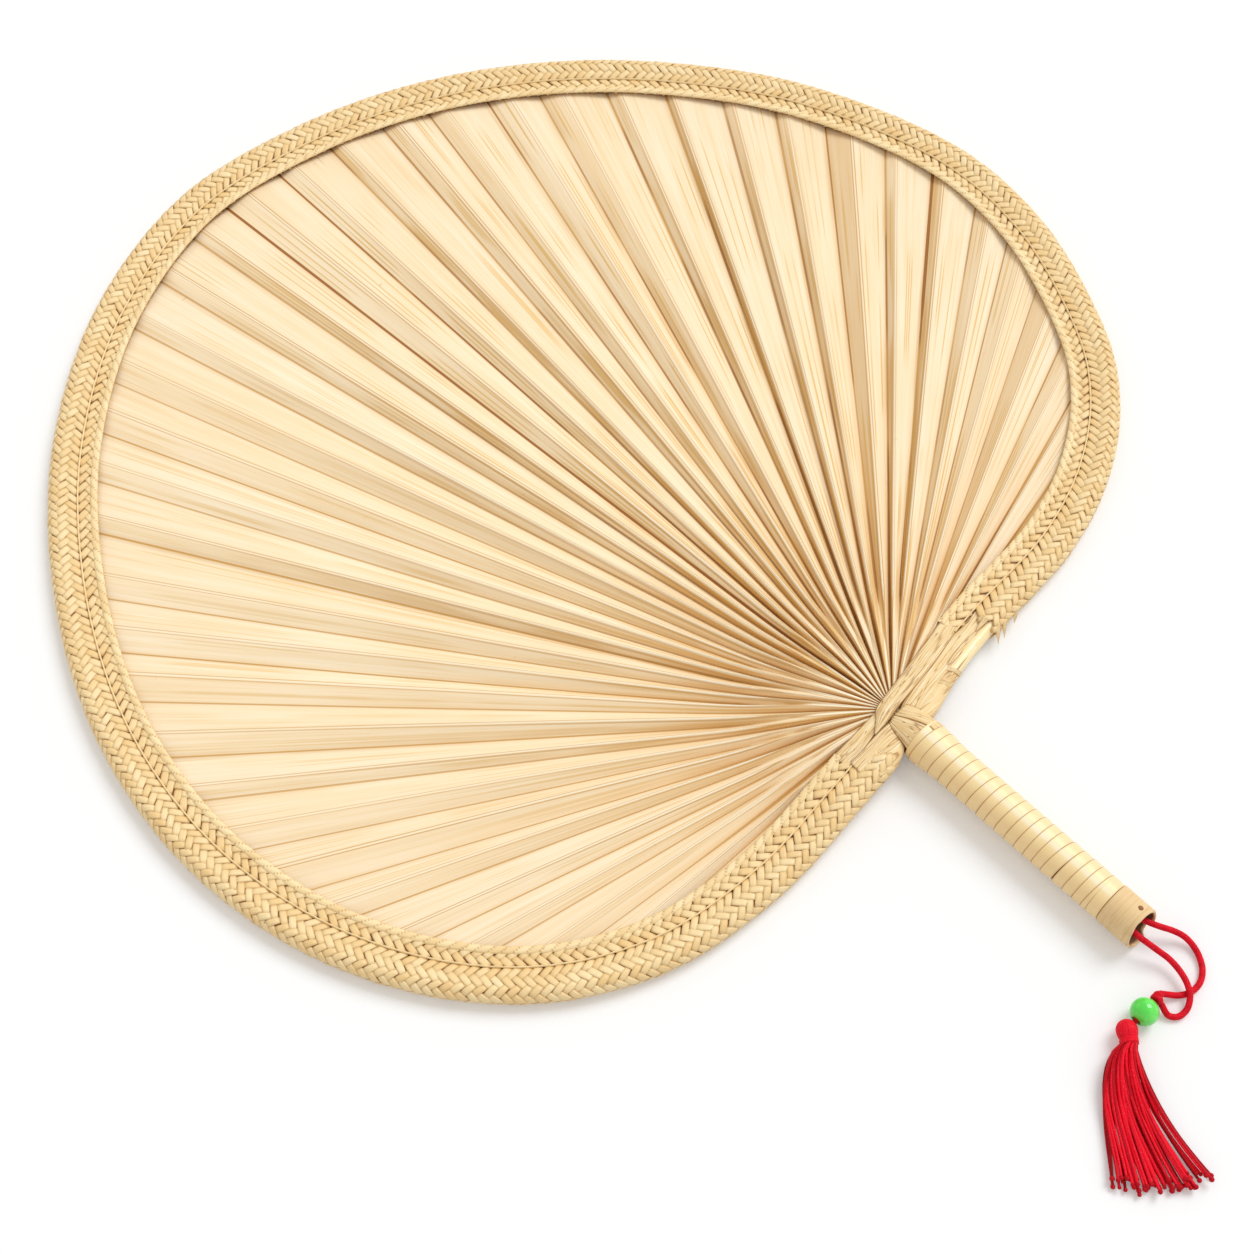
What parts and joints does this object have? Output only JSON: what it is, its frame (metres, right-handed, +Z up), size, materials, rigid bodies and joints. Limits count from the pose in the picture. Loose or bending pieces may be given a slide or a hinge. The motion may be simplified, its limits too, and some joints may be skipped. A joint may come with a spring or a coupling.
{
  "type": "palm-leaf hand fan",
  "caption": "Flat hand fan with a pleated palm-leaf blade in a plaited rim, a cane-wound bamboo handle and a cord loop with a bead and a tassel.",
  "frame": {"origin": "middle of the fan's width and length, from the handle's end to the blade's tip, on the surface it lies on", "axes": "+Y from the handle to the blade's tip, +X to the right seen from above, +Z up out of the front face"},
  "size_m": [0.451, 0.5753, 0.0178],
  "materials": {
    "leaf": "dried palm leaf, satin, pale straw with tan fold lines",
    "straw": "plaited palm straw, satin",
    "cane": "split cane strip, low gloss",
    "bamboo": "bare bamboo, satin, with fine rings",
    "red_thread": "twisted shiny thread",
    "green_bead": "moulded, glossy"
  },
  "bodies": {
    "fan": {"palm_leaf": "leaf", "rim_hoop": "cane", "rim_braid": "straw", "edge_braid_front": "straw", "edge_braid_back": "straw", "base_strip_left": "straw", "base_strip_right": "straw", "lining_strip_front": "straw", "lining_strip_back": "straw", "hoop_wrap": "straw", "lash_front_right": "straw", "lash_back_right": "straw", "lash_front_left": "straw", "lash_back_left": "straw", "handle_tube": "bamboo", "handle_winding": "cane", "cord_peg": "bamboo", "cord_bight": "red_thread", "cord_leg_a": "red_thread", "cord_leg_b": "red_thread", "loop_knot": "red_thread", "hanger_cord": "red_thread"},
    "bead": {"bead": "green_bead"},
    "tassel": {"tassel_head": "red_thread", "tassel_neck_band": "red_thread", "tassel_skirt": "red_thread"}
  },
  "joints": [
    {"name": "bead_spin", "type": "hinge", "parent": "fan", "child": "bead", "pos_m": [-0.02164, -0.2709, 0.0051], "axis": [1, 0, 0], "continuous": true},
    {"name": "tassel_swing", "type": "hinge", "parent": "fan", "child": "tassel", "pos_m": [-0.03099, -0.2709, 0.0051], "axis": [0, 0, 1], "range_deg": [-90, 50]}
  ]
}
